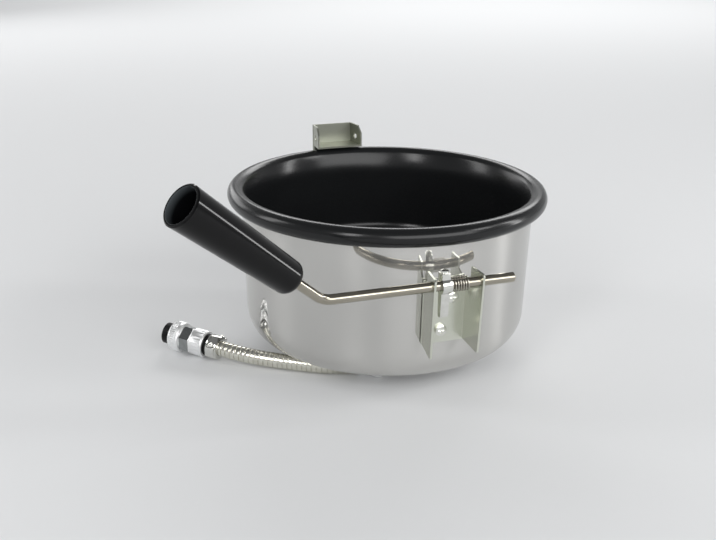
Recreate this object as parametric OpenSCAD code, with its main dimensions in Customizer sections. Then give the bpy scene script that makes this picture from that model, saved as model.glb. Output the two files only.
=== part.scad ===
// Electric popping kettle of a popcorn machine: a black coated pot in a polished shell,
// hung at the rear on a hinge bracket and tipped by a sprung handle on the front bracket.
// The origin is the centre of the bottom cover on the table; the front bracket faces -Y.

/* [Pot] */
// Outer diameter of the rolled rim
rim_d = 244; // [230:1:270]
// Diameter of the rolled bead at the rim
bead_d = 13.5; // [12:0.5:16]
// Thickness of the pot's sheet
pot_t = 1.5; // [1.2:0.1:1.8]
// Depth from the top of the rim to the pot's floor
pot_depth = 73; // [66:1:76]
// Outer radius between the pot's wall and its floor
pot_corner_r = 11; // [8:1:16]
// Loss of the pot's radius from the bead down to the floor
pot_draft = 3.5; // [3:0.5:6]

/* [Shell] */
// Height of the shell from its bottom to the middle of the bead
shell_h = 114; // [110:1:130]
// Thickness of the shell's sheet
shell_t = 0.8; // [0.6:0.1:1]
// Gap between the pot's wall and the shell under the bead
shell_gap = 0.7; // [0.6:0.1:1]
// Loss of the shell's radius from the bead down to the bottom corner
shell_draft = 2.5; // [1:0.5:3]
// Outer radius of the shell's bottom corner
shell_corner_r = 24.4; // [18:0.2:28]
// Height of the shell's edge above the middle of the bead
shell_tuck = 1; // [0:0.2:1.4]

/* [Bottom cover] */
// Diameter of the cover that the kettle stands on
cover_d = 90; // [76:1:96]
// Height of the cover
cover_h = 13; // [12.8:0.2:18]
// Thickness of the cover's sheet
cover_t = 1; // [0.8:0.1:1.4]
// Diameter of the recess for the nut
recess_d = 30; // [24:1:36]
// Height of the recess
recess_h = 7.6; // [7.4:0.2:8.4]

/* [Heater] */
// Outer diameter of the cast heater ring
heater_d = 164; // [140:1:172]
// Inner diameter of the cast heater ring
heater_hole_d = 64; // [50:1:72]
// Height of the cast heater ring
heater_h = 10; // [8:0.5:12]
// Diameter of the tubular element in the ring
element_d = 7; // [6:0.5:7.5]
// Thickness of the clamp plate under the ring
clamp_t = 2; // [1.5:0.1:2.5]
// Diameter of the centre stud
stud_d = 8; // [6:0.5:9]
// Room between the insulation pad and the switches' blades above it
pad_room = 6.4; // [4:0.2:10]
// Diameter of the insulation pad
pad_d = 158; // [150:1:160]
// Diameter of the thermostat
thermostat_d = 16; // [12:0.5:20]
// Height of the thermostat's body
thermostat_h = 9; // [7:0.5:10]
// Diameter of the thermal cut-out
cutout_d = 13; // [11:0.5:16]
// Height of the thermal cut-out's body
cutout_h = 8; // [6:0.5:10]
// Length of the terminal block
terminal_len = 36; // [30:1:44]
// Depth of the terminal block
terminal_depth = 14; // [10:0.5:18]
// Height of the terminal block
terminal_height = 9; // [8:0.5:10]
// Distance of the terminal block from the centre
terminal_y = 40; // [34:1:46]
// Diameter of the lead holes in the terminal block
lead_hole_d = 4.6; // [3:0.1:5.4]

/* [Front bracket] */
// Width of the bracket's back plate
ear_span = 33; // [31:0.5:42]
// Outward lean of the brackets' ears from square
ear_splay = 6; // [3:0.5:8]
// Thickness of the brackets' sheet
bracket_t = 1.5; // [1.2:0.1:1.8]
// Height of the back plate's lower edge below the bracket's middle
plate_low = 26; // [24:0.5:28]
// Height of the back plate's upper edge above the bracket's middle
plate_high = 22; // [16:0.5:22]
// Height of the ears' upper edge above the bracket's middle
ear_high = 31.4; // [30.5:0.1:34]
// Depth of the ears at their lower edge
ear_low_depth = 21.5; // [19:0.5:24]
// Depth of the ears at their upper edge
ear_high_depth = 23.5; // [23:0.5:28]
// Set-back of the ears from the shell above the back plate
ear_setback = 7.6; // [5:0.2:10]
// Height of the bracket's middle above the shell's bottom
bracket_mid = 60; // [58:0.5:64]
// Diameter of the bracket screws' shank
screw_d = 4.5; // [4:0.1:5]
// Diameter of the bracket screws' head
screw_head_d = 8.6; // [7.6:0.1:9.4]

/* [Handle] */
// Diameter of the handle rod
rod_d = 7; // [6:0.1:7.4]
// Distance of the rod's axis from the shell
rod_out = 18; // [17.5:0.1:18.4]
// Height of the rod's axis above the bracket's middle
rod_up = 24.4; // [23.8:0.1:25]
// Length of the rod past the back plate's right edge
rod_stub = 27; // [14:0.5:40]
// Distance of the bend from the middle of the bracket
bend_x = 94.6; // [80:0.2:130]
// Radius of the bend
bend_r = 16; // [12:0.5:24]
// Angle of the bend
bend_angle = 43; // [30:1:60]
// Outward lean of the bent arm from upright
arm_lean = 22; // [0:1:40]
// Distance from the bend's corner to the grip
grip_from = 30.5; // [20:0.5:40]
// Length of the grip
grip_len = 99; // [80:1:130]
// Diameter of the grip at its nose
grip_nose_d = 23; // [20:0.5:28]
// Diameter of the grip at its open end
grip_end_d = 28.4; // [24:0.2:34]
// Radius of the grip's rounded nose
grip_round_r = 6; // [4:0.5:7]
// Wall of the grip at its open end
grip_wall = 2; // [1.6:0.1:3]
// Depth of the hollow at the grip's open end
hollow_depth = 58; // [40:1:64]

/* [Latch lever] */
// Width of the lever along the rod
lever_w = 6; // [5:0.2:6]
// Distance of the lever's middle from the middle of the bracket
lever_x = 9.2; // [8.8:0.1:10.6]
// Length of the lever's tail below the rod's axis
tail_len = 22.6; // [20:0.2:24]
// Thickness of the tail at the hub
tail_root = 6; // [5:0.2:8]
// Thickness of the tail at its tip
tail_tip = 4; // [3:0.2:5]
// Diameter of the lever's hub
hub_d = 12; // [11:0.2:13]
// Height of the clamp block above the rod's axis
block_h = 9; // [8:0.2:10]

/* [Return spring] */
// Diameter of the spring's wire
wire_d = 0.9; // [0.7:0.05:1]
// Mean radius of the coil
coil_r = 4.7; // [4.6:0.05:5]
// Number of turns
coil_turns = 8; // [4:1:9]
// Pitch of the coil
coil_pitch = 1.4; // [1.4:0.05:1.5]

/* [Rear bracket] */
// Width of the rear bracket's back plate
rear_span = 35.6; // [32:0.2:42]
// Height of the hinge hole above the rim's top
hinge_rise = 8.8; // [8:0.1:11]
// Distance of the hinge hole from the shell
hinge_out = 7.5; // [7:0.1:10]
// Reach of the rear bracket's ears past the hinge hole, over the rim
ear_reach = 10; // [8:0.5:11]
// Diameter of the hinge hole
hinge_d = 5.2; // [4:0.1:6.4]
// Depth of the rear bracket from the shell to its back
rear_depth = 19; // [18:0.2:22]
// Height of the rear bracket's top above the hinge hole
rear_top = 10; // [8:0.5:14]
// Room between the bead and the rear bracket
bead_room = 1.4; // [1:0.1:2]
// Height of the rear bracket's foot
foot_h = 32; // [28:0.5:36]

/* [Hose and plug] */
// Outer diameter of the ribbed hose
hose_d = 12; // [11:0.1:12]
// Bore of the hose
hose_bore = 8.4; // [7.6:0.1:9]
// Length of one rib
rib_pitch = 4; // [4:0.1:5]
// Depth of the grooves between the ribs
rib_depth = 0.6; // [0.4:0.05:0.8]
// Diameter of the plug's coupling nut
coupling_d = 23.6; // [22.6:0.2:24.4]
// Length of the plug's coupling nut
coupling_len = 10.5; // [9:0.5:14]
// Diameter of the plug's barrel under the nut
barrel_d = 18; // [17.4:0.1:18.4]
// Diameter of the plug's insert
insert_d = 16.4; // [15.6:0.1:16.6]
// Length of the insert in front of the nut
insert_out = 5.5; // [4:0.5:9]
// Diameter of the plug's rear sleeve
sleeve_d = 20.8; // [20:0.1:21.2]
// Length of the plug's rear sleeve
sleeve_len = 11.5; // [10:0.5:16]
// Length of the wrench flats in front of the sleeve
flats_len = 9; // [8:0.5:12]
// Length of the cord clamp at the plug's rear
clamp_len = 9.5; // [8:0.5:12]
// Diameter of the cord clamp
clamp_d = 19; // [18:0.2:20]

/* [Clearances] */
// Radial clearance of a shaft that turns in its hole
run_gap = 0.06; // [0.03:0.01:0.1]
// Radial clearance of a fixed piece in its hole
fit_gap = 0.1; // [0.05:0.01:0.2]
// Gap between flat parts that touch a curved wall
seat_gap = 0.05; // [0.02:0.01:0.2]

/* [Hidden] */
$fn = 96;

steel = "gainsboro";
black = [0.08, 0.08, 0.09];
eps = 0.01;

// Levels of the pot and the shell, from the table upwards
shell_z = cover_h;
bead_r = bead_d / 2;
bead_z = shell_z + shell_h;
bead_mid_r = rim_d / 2 - bead_r;
rim_top_z = bead_z + bead_r;
pot_floor_z = rim_top_z - pot_depth;
pot_under_z = pot_floor_z - pot_t;
pot_out_r = rim_d / 2 - bead_d + pot_t;
curl_end = 250;

// The shell's wall, and the frame that stands on it at a bracket's middle
shell_top_r = pot_out_r + shell_gap + shell_t;
shell_low_r = shell_top_r - shell_draft;
shell_low_z = shell_z + shell_corner_r;
function wall_r(z) = shell_low_r + shell_draft * (z - shell_low_z) / (bead_z - shell_low_z);
wall_tilt = atan(shell_draft / (bead_z - shell_low_z));
mid_z = shell_z + bracket_mid;
mid_r = wall_r(mid_z);

// Heater stack under the pot's floor
heater_z = pot_under_z - heater_h;
element_ring_r = (heater_d + heater_hole_d) / 4;
element_z = heater_z + element_d / 2 + 0.4;
clamp_z = heater_z - clamp_t;
clamp_nut_h = 6.5;
shell_floor_z = shell_z + shell_t;
stud_r = stud_d / 2;
blade_len = 6;
pad_t = clamp_z - max(thermostat_h, cutout_h) - blade_len - pad_room - shell_floor_z;
nut_flats = 13;
nut_r = nut_flats / 2 / cos(30);
cover_nut_h = 6;
plug_t = 1;

// Screws of the two brackets: [x, height above the bracket's middle]
front_screws = [[5.3, 8], [-2.4, -16.2]];
hinge_up = rim_top_z + hinge_rise - mid_z;
rear_foot_top = bead_z - bead_r - bead_room - mid_z;
rear_foot_low = rear_foot_top - foot_h;
rear_screws = [[-8, rear_foot_low + 8], [8, rear_foot_low + 8]];
screw_head_h = 2.8;
screw_reach = 0.7;
ear_inset = 0.3;

// Axis of the handle rod in the part's frame
rod_r = rod_d / 2;
rod_y = -(mid_r + rod_out * cos(wall_tilt) + rod_up * sin(wall_tilt));
rod_z = mid_z - rod_out * sin(wall_tilt) + rod_up * cos(wall_tilt);
rod_right = ear_span / 2 + rod_stub;
bend_tangent = bend_r * tan(bend_angle / 2);
bend_thin = 0.02;
rod_run = rod_right - bend_tangent + bend_x;
grip_hollow_s = grip_from + grip_len - hollow_depth;
grip_nut_h = 5;
grip_nut_r = 5.8;
rod_end_s = grip_hollow_s + grip_nut_h + 2;

// Latch lever and the spring beside it
block_w = 7;
lever_screw_d = 3;
lever_screw_head_d = 5.6;
lever_screw_head_h = 2.6;
collar_len = 1.2;
hub_face_x = -lever_x + lever_w / 2 + collar_len;
leg_hole = [-coil_r * sin(155), coil_r * cos(155)];
collar_d = 11.6;
leg_hole_depth = 2.2;
spring_x = hub_face_x + wire_d / 2 + 0.6 - coil_pitch / 2;

// Hose route on the table, from the plug's clamp to the elbow, and the elbow's place
hose_r = hose_d / 2;
hose_route = [
    [-146, 21, 11.3], [-132, 7, 9.8], [-126, 1, 9.16], [-118, -6, 8.4], [-108, -13, 7.4],
    [-97, -19.8, 6.6], [-86, -26.8, 6.3], [-75, -33.8, 6.2], [-64, -40.5, 6.2], [-52, -45, 6.2],
    [-40, -49.5, 6.2]
];
elbow_reach = 14;
elbow_barrel = 8;
elbow_r = 6;
elbow_stub_r = 5;
elbow_bore_r = 2.9;
elbow_gap = 0.1;
elbow_floor = 0.6;
elbow_stub = 9;
spigot_r = hose_bore / 2 * cos(22.5) - 0.2;
spigot_len = 6;
locknut_h = 3.5;
locknut_r = 8.4;
plug_dir = hose_route[0] - hose_route[1];
plug_heading = atan2(plug_dir.y, plug_dir.x);
plug_rise = atan2(plug_dir.z, norm([plug_dir.x, plug_dir.y]));
hose_end = hose_route[len(hose_route) - 1];
hose_last = hose_end - hose_route[len(hose_route) - 2];
elbow_heading = atan2(-hose_last.y, hose_last.x);
elbow_x = hose_end.x + elbow_reach * cos(elbow_heading);
elbow_y = hose_end.y - elbow_reach * sin(elbow_heading);

// Plug pieces along the plug's axis, from the clamp's rear face
neck_len = 3.4;
sleeve_s = clamp_len + neck_len;
flats_s = sleeve_s + sleeve_len;
coupling_s = flats_s + flats_len + 0.3;
coupling_end_s = coupling_s + coupling_len;
barrel_r = barrel_d / 2;
barrel_end_s = coupling_end_s - 2;
insert_r = insert_d / 2;
pin_d = 2;
clamp_screw_d = 3;

// A cup's outline: a drafted wall, a flat floor and a round corner
module cup_outline(top_r, low_r, top_z, low_z, corner) {
    polygon([
        [0, low_z], [low_r - corner, low_z], [low_r - corner, low_z + corner],
        [low_r, low_z + corner], [top_r, top_z], [0, top_z]
    ]);
    translate([low_r - corner, low_z + corner])
        circle(corner);
}

// The frame on the shell's wall at a bracket's middle: -Y points out of the wall
module on_wall(turn) {
    rotate([0, 0, turn])
        translate([0, -mid_r, mid_z])
            rotate([wall_tilt, 0, 0])
                children();
}

module on_rod() {
    translate([0, rod_y, rod_z])
        children();
}

// The bent arm's frame: +Z runs along the arm from the bend's corner
module on_arm() {
    on_rod()
        rotate([arm_lean, 0, 0])
            translate([-bend_x, 0, 0])
                rotate([0, bend_angle - 90, 0])
                    children();
}

// The plug's frame: +Z runs from the clamp's rear face to the plug's tip
module on_plug() {
    translate(hose_route[1])
        rotate([0, 0, plug_heading])
            rotate([0, 90 - plug_rise, 0])
                children();
}

module tube(outer_r, inner_r, from, to) {
    translate([0, 0, from])
        difference() {
            cylinder(r = outer_r, h = to - from);
            translate([0, 0, -eps])
                cylinder(r = inner_r, h = to - from + 2 * eps);
        }
}

module hex_nut(across, hole, height) {
    difference() {
        cylinder(r = across / 2 / cos(30), h = height, $fn = 6);
        translate([0, 0, -eps])
            cylinder(r = hole, h = height + 2 * eps);
    }
}

// A pan-head screw with a cross recess: its shank points along +Y from the head's seat
module pan_screw(head_d, head_h, shank_d, shank_len) {
    rotate([90, 0, 0]) {
        difference() {
            intersection() {
                cylinder(d = head_d, h = head_h);
                translate([0, 0, head_h - head_d])
                    sphere(head_d);
            }
            for (turn = [0, 90])
                rotate([0, 0, turn])
                    translate([-head_d * 0.3, -head_d * 0.06, head_h - 1.2])
                        cube([head_d * 0.6, head_d * 0.12, 2]);
        }
        translate([0, 0, -shank_len])
            cylinder(d = shank_d, h = shank_len + eps);
    }
}

// Holes through the wall for one bracket's screws
module screw_holes(places) {
    for (p = places)
        translate([p.x, -bracket_t - 2, p.y])
            rotate([-90, 0, 0])
                cylinder(d = screw_d + 2 * fit_gap, h = bracket_t + shell_t + 6);
}

module screws(places) {
    for (p = places)
        translate([p.x, -bracket_t - seat_gap, p.y])
            pan_screw(screw_head_d, screw_head_h, screw_d, bracket_t + shell_t + screw_reach);
}

module inner_pot() {
    color(black)
        rotate_extrude() {
            difference() {
                translate([bead_mid_r, bead_z])
                    circle(bead_r);
                translate([bead_mid_r, bead_z])
                    circle(bead_r - pot_t);
                translate([bead_mid_r, bead_z])
                    polygon([
                        [0, 0], [-2 * bead_r, 0], [-2 * bead_r, -2 * bead_r],
                        2 * bead_r * [cos(curl_end), sin(curl_end)]
                    ]);
            }
            difference() {
                cup_outline(pot_out_r, pot_out_r - pot_draft, bead_z, pot_under_z, pot_corner_r);
                cup_outline(
                    pot_out_r - pot_t, pot_out_r - pot_draft - pot_t, bead_z + eps, pot_floor_z,
                    pot_corner_r - pot_t
                );
            }
        }
}

module outer_shell() {
    color(steel)
        difference() {
            rotate_extrude()
                difference() {
                    cup_outline(
                        wall_r(bead_z + shell_tuck), shell_low_r, bead_z + shell_tuck, shell_z,
                        shell_corner_r
                    );
                    cup_outline(
                        wall_r(bead_z + shell_tuck) - shell_t, shell_low_r - shell_t,
                        bead_z + shell_tuck + eps, shell_floor_z, shell_corner_r - shell_t
                    );
                }
            on_wall(0)
                screw_holes(front_screws);
            on_wall(180)
                screw_holes(rear_screws);
            translate([0, 0, shell_z - 1])
                cylinder(r = stud_r + fit_gap, h = shell_t + 2);
            translate([elbow_x, elbow_y, shell_z - 1])
                cylinder(r = elbow_stub_r + fit_gap, h = shell_t + 2);
        }
}

module heater_ring() {
    color("darkgray")
        difference() {
            tube(heater_d / 2, heater_hole_d / 2, heater_z, pot_under_z);
            rotate_extrude()
                translate([element_ring_r, element_z]) {
                    circle(element_d / 2 + fit_gap);
                    translate([-element_d / 2 - fit_gap, -element_d])
                        square([element_d + 2 * fit_gap, element_d]);
                }
        }
}

// The element lies in a groove that is open at the lower face of the casting
module heater_element() {
    color("dimgray")
        rotate_extrude()
            translate([element_ring_r, element_z])
                circle(element_d / 2);
}

module clamp_plate() {
    color("silver")
        difference() {
            translate([0, 0, clamp_z])
                cylinder(d = heater_d, h = clamp_t);
            translate([0, 0, clamp_z - eps])
                cylinder(r = stud_r + fit_gap, h = clamp_t + 2 * eps);
            for (turn = [30:60:330])
                rotate([0, 0, turn])
                    translate([heater_hole_d / 2 - 10, 0, clamp_z - eps])
                        cylinder(d = 10, h = clamp_t + 2 * eps);
        }
}

module centre_stud() {
    color("silver")
        translate([0, 0, 1.4])
            cylinder(r = stud_r, h = pot_under_z - 1.4);
}

module clamp_nut() {
    color("silver")
        translate([0, 0, clamp_z - clamp_nut_h])
            hex_nut(nut_flats, stud_r + fit_gap, clamp_nut_h);
}

module insulation_pad() {
    color("ivory")
        difference() {
            tube(pad_d / 2, 14, shell_floor_z, shell_floor_z + pad_t);
            translate([elbow_x, elbow_y, shell_z])
                cylinder(r = locknut_r + 2, h = pad_t + 2);
        }
}

// A round bimetal switch hung under the clamp plate, with two blades
module plate_switch(x, y, body_d, body_h) {
    translate([x, y, clamp_z - body_h]) {
        cylinder(d = body_d, h = body_h);
        for (side = [-1, 1])
            translate([side * body_d / 4 - 3.2, -0.4, -blade_len])
                cube([6.4, 0.8, blade_len + eps]);
    }
}

module thermostat() {
    color("wheat")
        plate_switch(element_ring_r, 0, thermostat_d, thermostat_h);
}

module thermal_cutout() {
    color("tan")
        plate_switch(-element_ring_r, 0, cutout_d, cutout_h);
}

module terminal_block() {
    block_z = shell_floor_z + pad_t;
    color("white")
        difference() {
            translate([-terminal_len / 2, terminal_y, block_z])
                cube([terminal_len, terminal_depth, terminal_height]);
            for (i = [-1:1])
                translate([i * terminal_len / 3.3, terminal_y - eps, block_z + terminal_height / 2])
                    rotate([-90, 0, 0])
                        cylinder(d = lead_hole_d, h = terminal_depth + 2 * eps);
        }
}

module bottom_cover() {
    color(steel)
        difference() {
            cylinder(d = cover_d, h = cover_h);
            translate([0, 0, -eps])
                cylinder(d = recess_d, h = recess_h + eps);
            difference() {
                translate([0, 0, cover_t])
                    cylinder(d = cover_d - 2 * cover_t, h = cover_h);
                cylinder(d = recess_d + 2 * cover_t, h = recess_h + cover_t);
            }
            translate([0, 0, recess_h - eps])
                cylinder(r = stud_r + fit_gap, h = cover_h);
        }
}

module cover_nut() {
    color("silver")
        translate([0, 0, recess_h - cover_nut_h])
            hex_nut(nut_flats, stud_r + fit_gap, cover_nut_h);
}

// A blanking plug that closes the recess flush with the cover
module cover_plug() {
    color("dimgray")
        cylinder(r = recess_d / 2 - fit_gap, h = plug_t);
}

// One ear of the front bracket, drawn out of the wall and up
module ear_outline() {
    root_u = seat_gap + bracket_t / 2;
    root_in = 0.8;
    polygon([
        [root_u, root_in - plate_low], [ear_low_depth - 1, -plate_low - 2.4],
        [ear_low_depth, -plate_low - 1.4], [ear_high_depth, ear_high - 2],
        [ear_high_depth - 1.4, ear_high - 0.6], [ear_setback, ear_high],
        [ear_setback, plate_high + 2], [root_u + bracket_t, plate_high - root_in],
        [root_u, plate_high - root_in]
    ]);
}

// A pair of ears at a plate's two edges, leaning outward from the plate at the depth root
module ears(span, root, lean) {
    for (side = [-1, 1])
        translate([side * (span / 2 - ear_inset), -root, 0])
            rotate([0, 0, side * lean])
                translate([side > 0 ? -bracket_t : 0, root, 0])
                    rotate([90, 0, -90])
                        mirror([0, 0, 1])
                            linear_extrude(bracket_t)
                                children();
}

module front_bracket() {
    color("lightgray")
        difference() {
            on_wall(0)
                difference() {
                    union() {
                        translate([-ear_span / 2, -bracket_t - seat_gap, -plate_low])
                            cube([ear_span, bracket_t, plate_low + plate_high]);
                        ears(ear_span, 0, ear_splay)
                            ear_outline();
                    }
                    screw_holes(front_screws);
                }
            on_rod()
                rotate([0, 90, 0])
                    cylinder(r = rod_r + run_gap, h = 2 * ear_span, center = true);
        }
}

module front_bracket_screws() {
    color("silver")
        on_wall(0)
            screws(front_screws);
}

module handle_rod() {
    color("silver") {
        on_rod()
            rotate([arm_lean, 0, 0]) {
                translate([bend_tangent - bend_x, 0, 0])
                    rotate([0, 90, 0])
                        rotate_extrude()
                            polygon([
                                [0, 0], [rod_r, 0], [rod_r, rod_run - 1], [rod_r - 1, rod_run],
                                [0, rod_run]
                            ]);
                translate([bend_tangent - bend_x, 0, bend_r])
                    rotate([90, 0, 0])
                        rotate([0, 0, -91 - bend_angle])
                            rotate_extrude(angle = bend_angle + 2)
                                translate([bend_r, 0])
                                    circle(rod_r - bend_thin);
            }
        on_arm()
            translate([0, 0, bend_tangent])
                cylinder(r = rod_r, h = rod_end_s - bend_tangent);
    }
}

module grip() {
    nose_r = grip_nose_d / 2;
    end_r = grip_end_d / 2;
    mid_s = grip_len - hollow_depth / 2;
    color(black)
        on_arm()
            translate([0, 0, grip_from])
                rotate_extrude()
                    difference() {
                        union() {
                            polygon([
                                [0, 0], [nose_r - grip_round_r, 0],
                                [nose_r - grip_round_r, grip_round_r], [nose_r, grip_round_r],
                                [end_r, grip_len - 0.8], [end_r - 0.8, grip_len], [0, grip_len]
                            ]);
                            translate([nose_r - grip_round_r, grip_round_r])
                                intersection() {
                                    circle(grip_round_r);
                                    translate([0, -grip_round_r])
                                        square(grip_round_r);
                                }
                        }
                        translate([0, -eps])
                            square([rod_r + fit_gap, grip_len]);
                        translate([0, grip_len - hollow_depth])
                            square([end_r - grip_wall - 1.2, hollow_depth + eps]);
                        polygon([
                            [0, mid_s], [end_r - grip_wall - 1.2, mid_s],
                            [end_r - grip_wall, grip_len + eps], [0, grip_len + eps]
                        ]);
                    }
}

module grip_nut() {
    color("silver")
        on_arm()
            translate([0, 0, grip_hollow_s])
                hex_nut(2 * grip_nut_r * cos(30), rod_r + fit_gap, grip_nut_h);
}

module latch_lever() {
    color("lightgray")
        on_rod()
            translate([-lever_x, 0, 0])
                difference() {
                    union() {
                        rotate([0, 90, 0])
                            cylinder(d = hub_d, h = lever_w, center = true);
                        translate([lever_w / 2 - eps, 0, 0])
                            rotate([0, 90, 0])
                                cylinder(d = collar_d, h = collar_len + eps);
                        translate([-lever_w / 2, -block_w / 2, 0])
                            cube([lever_w, block_w, block_h]);
                        rotate([90, 0, 90])
                            linear_extrude(lever_w, center = true)
                                polygon([
                                    [-tail_root / 2, 0], [tail_root / 2, 0],
                                    [tail_tip / 2, 1 - tail_len], [tail_tip / 2 - 1, -tail_len],
                                    [1 - tail_tip / 2, -tail_len], [-tail_tip / 2, 1 - tail_len]
                                ]);
                    }
                    rotate([0, 90, 0])
                        cylinder(r = rod_r + fit_gap, h = 4 * lever_w, center = true);
                    cylinder(d = lever_screw_d + 2 * fit_gap, h = block_h + 1);
                    translate([lever_w / 2 + collar_len - leg_hole_depth, leg_hole.x, leg_hole.y])
                        rotate([0, 90, 0])
                            cylinder(d = wire_d + 2 * fit_gap, h = leg_hole_depth + 1, $fn = 24);
                }
}

module lever_screw() {
    color("silver")
        on_rod()
            translate([-lever_x, 0, block_h])
                rotate([-90, 0, 0])
                    pan_screw(
                        lever_screw_head_d, lever_screw_head_h, lever_screw_d,
                        block_h - rod_r - fit_gap
                    );
}

// Middle line of the return spring: a bent leg at the lever, the coil, and a leg to the plate
coil_step = 45;
coil_len = coil_turns * coil_pitch;
leg_gap = 0.3;
plate_face_u = bracket_t + seat_gap;
leg_v = rod_up - coil_r;
plate_face_y = -(mid_r + plate_face_u * cos(wall_tilt) + leg_v * sin(wall_tilt));
leg_len = plate_face_y - rod_y - wire_d / 2 - leg_gap;
function coil_point(turn) =
    [spring_x + turn / 360 * coil_pitch, -coil_r * sin(turn), coil_r * cos(turn)];
coil_start = 180;
coil_end = 180 + 360 * coil_turns;
spring_path = concat(
    [[hub_face_x - leg_hole_depth + 0.3, leg_hole.x, leg_hole.y]],
    [[hub_face_x + wire_d / 2, leg_hole.x, leg_hole.y]],
    [for (turn = [coil_start:coil_step:coil_end]) coil_point(turn)],
    [[coil_point(coil_end).x, leg_len - 2 * wire_d, -coil_r]],
    [[coil_point(coil_end).x, leg_len, -coil_r]]
);

// Rings of a tube swept along a path, square to the path at each point
function unit(v) = v / norm(v);
function along(path, i) =
    unit(path[min(i + 1, len(path) - 1)] - path[max(i - 1, 0)]);
function side_of(d, ref) = unit(cross(d, ref));
function ring(path, i, r, sides, ref) =
    let (d = along(path, i), a = side_of(d, ref), b = cross(d, a))
    [for (k = [0:sides - 1]) path[i] + r * (cos(360 * k / sides) * a + sin(360 * k / sides) * b)];

// Least room between stretches of the spring's wire that aren't neighbours
function to_segment(p, a, b) =
    let (u = max(0, min(1, (p - a) * (b - a) / ((b - a) * (b - a)))))
    norm(p - a - u * (b - a));
spring_room = min([
    for (i = [0:len(spring_path) - 1], j = [0:len(spring_path) - 2])
        if (abs(i - j) > 4) to_segment(spring_path[i], spring_path[j], spring_path[j + 1])
]) - wire_d;
echo(spring_room = spring_room);

module return_spring() {
    color("silver")
        on_rod()
            wire_tube(spring_path, wire_d / 2, 6);
}

// A closed wire: rings joined by triangles, with a fan at each end
module wire_tube(path, r, sides) {
    n = len(path);
    points = [for (i = [0:n - 1]) each ring(path, i, r, sides, [1, 0.02, 0.03])];
    function at(i, k) = i * sides + k % sides;
    faces = concat(
        [for (i = [0:n - 2], k = [0:sides - 1]) each [
            [at(i, k), at(i, k + 1), at(i + 1, k)],
            [at(i, k + 1), at(i + 1, k + 1), at(i + 1, k)]
        ]],
        [for (k = [1:sides - 2]) [at(0, 0), at(0, k + 1), at(0, k)]],
        [for (k = [1:sides - 2]) [at(n - 1, 0), at(n - 1, k), at(n - 1, k + 1)]]
    );
    polyhedron(points, faces);
}

module rear_bracket() {
    foot_top = rear_foot_top;
    bead_top = bead_z + bead_r + bead_room - mid_z;
    bead_out = rim_d / 2 - mid_r + bead_room;
    top = hinge_up + rear_top;
    back = rear_depth - bracket_t;
    ear_front = hinge_out - ear_reach;
    shelf_back = rear_span / 2 - bracket_t / 2;
    shelf_front = shelf_back + (back - ear_front) * tan(ear_splay);
    color("lightgray")
        on_wall(180)
            difference() {
                union() {
                    translate([-rear_span / 2, -bracket_t - seat_gap, rear_foot_low])
                        cube([rear_span, bracket_t, foot_h]);
                    translate([-rear_span / 2, -rear_depth, foot_top - bracket_t])
                        cube([rear_span, rear_depth - seat_gap, bracket_t]);
                    translate([-rear_span / 2, -rear_depth, foot_top - bracket_t])
                        cube([rear_span, bracket_t, top - foot_top + bracket_t]);
                    translate([0, 0, bead_top])
                        linear_extrude(bracket_t)
                            polygon([
                                [-shelf_back, -back - eps], [shelf_back, -back - eps],
                                [shelf_front, -ear_front], [-shelf_front, -ear_front]
                            ]);
                    ears(rear_span, rear_depth, -ear_splay)
                        polygon([
                            [bead_out, foot_top - 0.5], [back + bracket_t / 2, foot_top - 0.5],
                            [back + bracket_t / 2, top], [ear_front + 6, top],
                            [ear_front, top - 6], [ear_front, bead_top], [bead_out, bead_top]
                        ]);
                }
                screw_holes(rear_screws);
                translate([0, -hinge_out, hinge_up])
                    rotate([0, 90, 0])
                        cylinder(d = hinge_d, h = 2 * rear_span, center = true);
            }
}

module rear_bracket_screws() {
    color("silver")
        on_wall(180)
            screws(rear_screws);
}

module hose_elbow() {
    color("silver")
        difference() {
            union() {
                translate(hose_end)
                    rotate([0, 0, -elbow_heading])
                        translate([elbow_gap, 0, 0])
                            rotate([0, 90, 0])
                                cylinder(r = elbow_r, h = elbow_reach);
                translate(hose_end)
                    rotate([0, 0, -elbow_heading])
                        translate([-spigot_len, 0, 0])
                            rotate([0, 90, 0])
                                cylinder(r = spigot_r, h = spigot_len + 1);
                translate([elbow_x, elbow_y, elbow_floor])
                    cylinder(r = elbow_r + 0.6, h = shell_z - elbow_floor);
                translate([elbow_x, elbow_y, shell_z - eps])
                    cylinder(r = elbow_stub_r, h = elbow_stub);
            }
            translate(hose_end)
                rotate([0, 0, -elbow_heading])
                    translate([-spigot_len - 1, 0, 0])
                        rotate([0, 90, 0])
                            cylinder(r = elbow_bore_r, h = elbow_reach + spigot_len + 2);
            translate([elbow_x, elbow_y, hose_end.z - 2])
                cylinder(r = elbow_bore_r + 0.5, h = shell_z + elbow_stub);
        }
}

module elbow_locknut() {
    color("silver")
        translate([elbow_x, elbow_y, shell_floor_z])
            hex_nut(2 * locknut_r * cos(30), elbow_stub_r + fit_gap, locknut_h);
}

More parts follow.
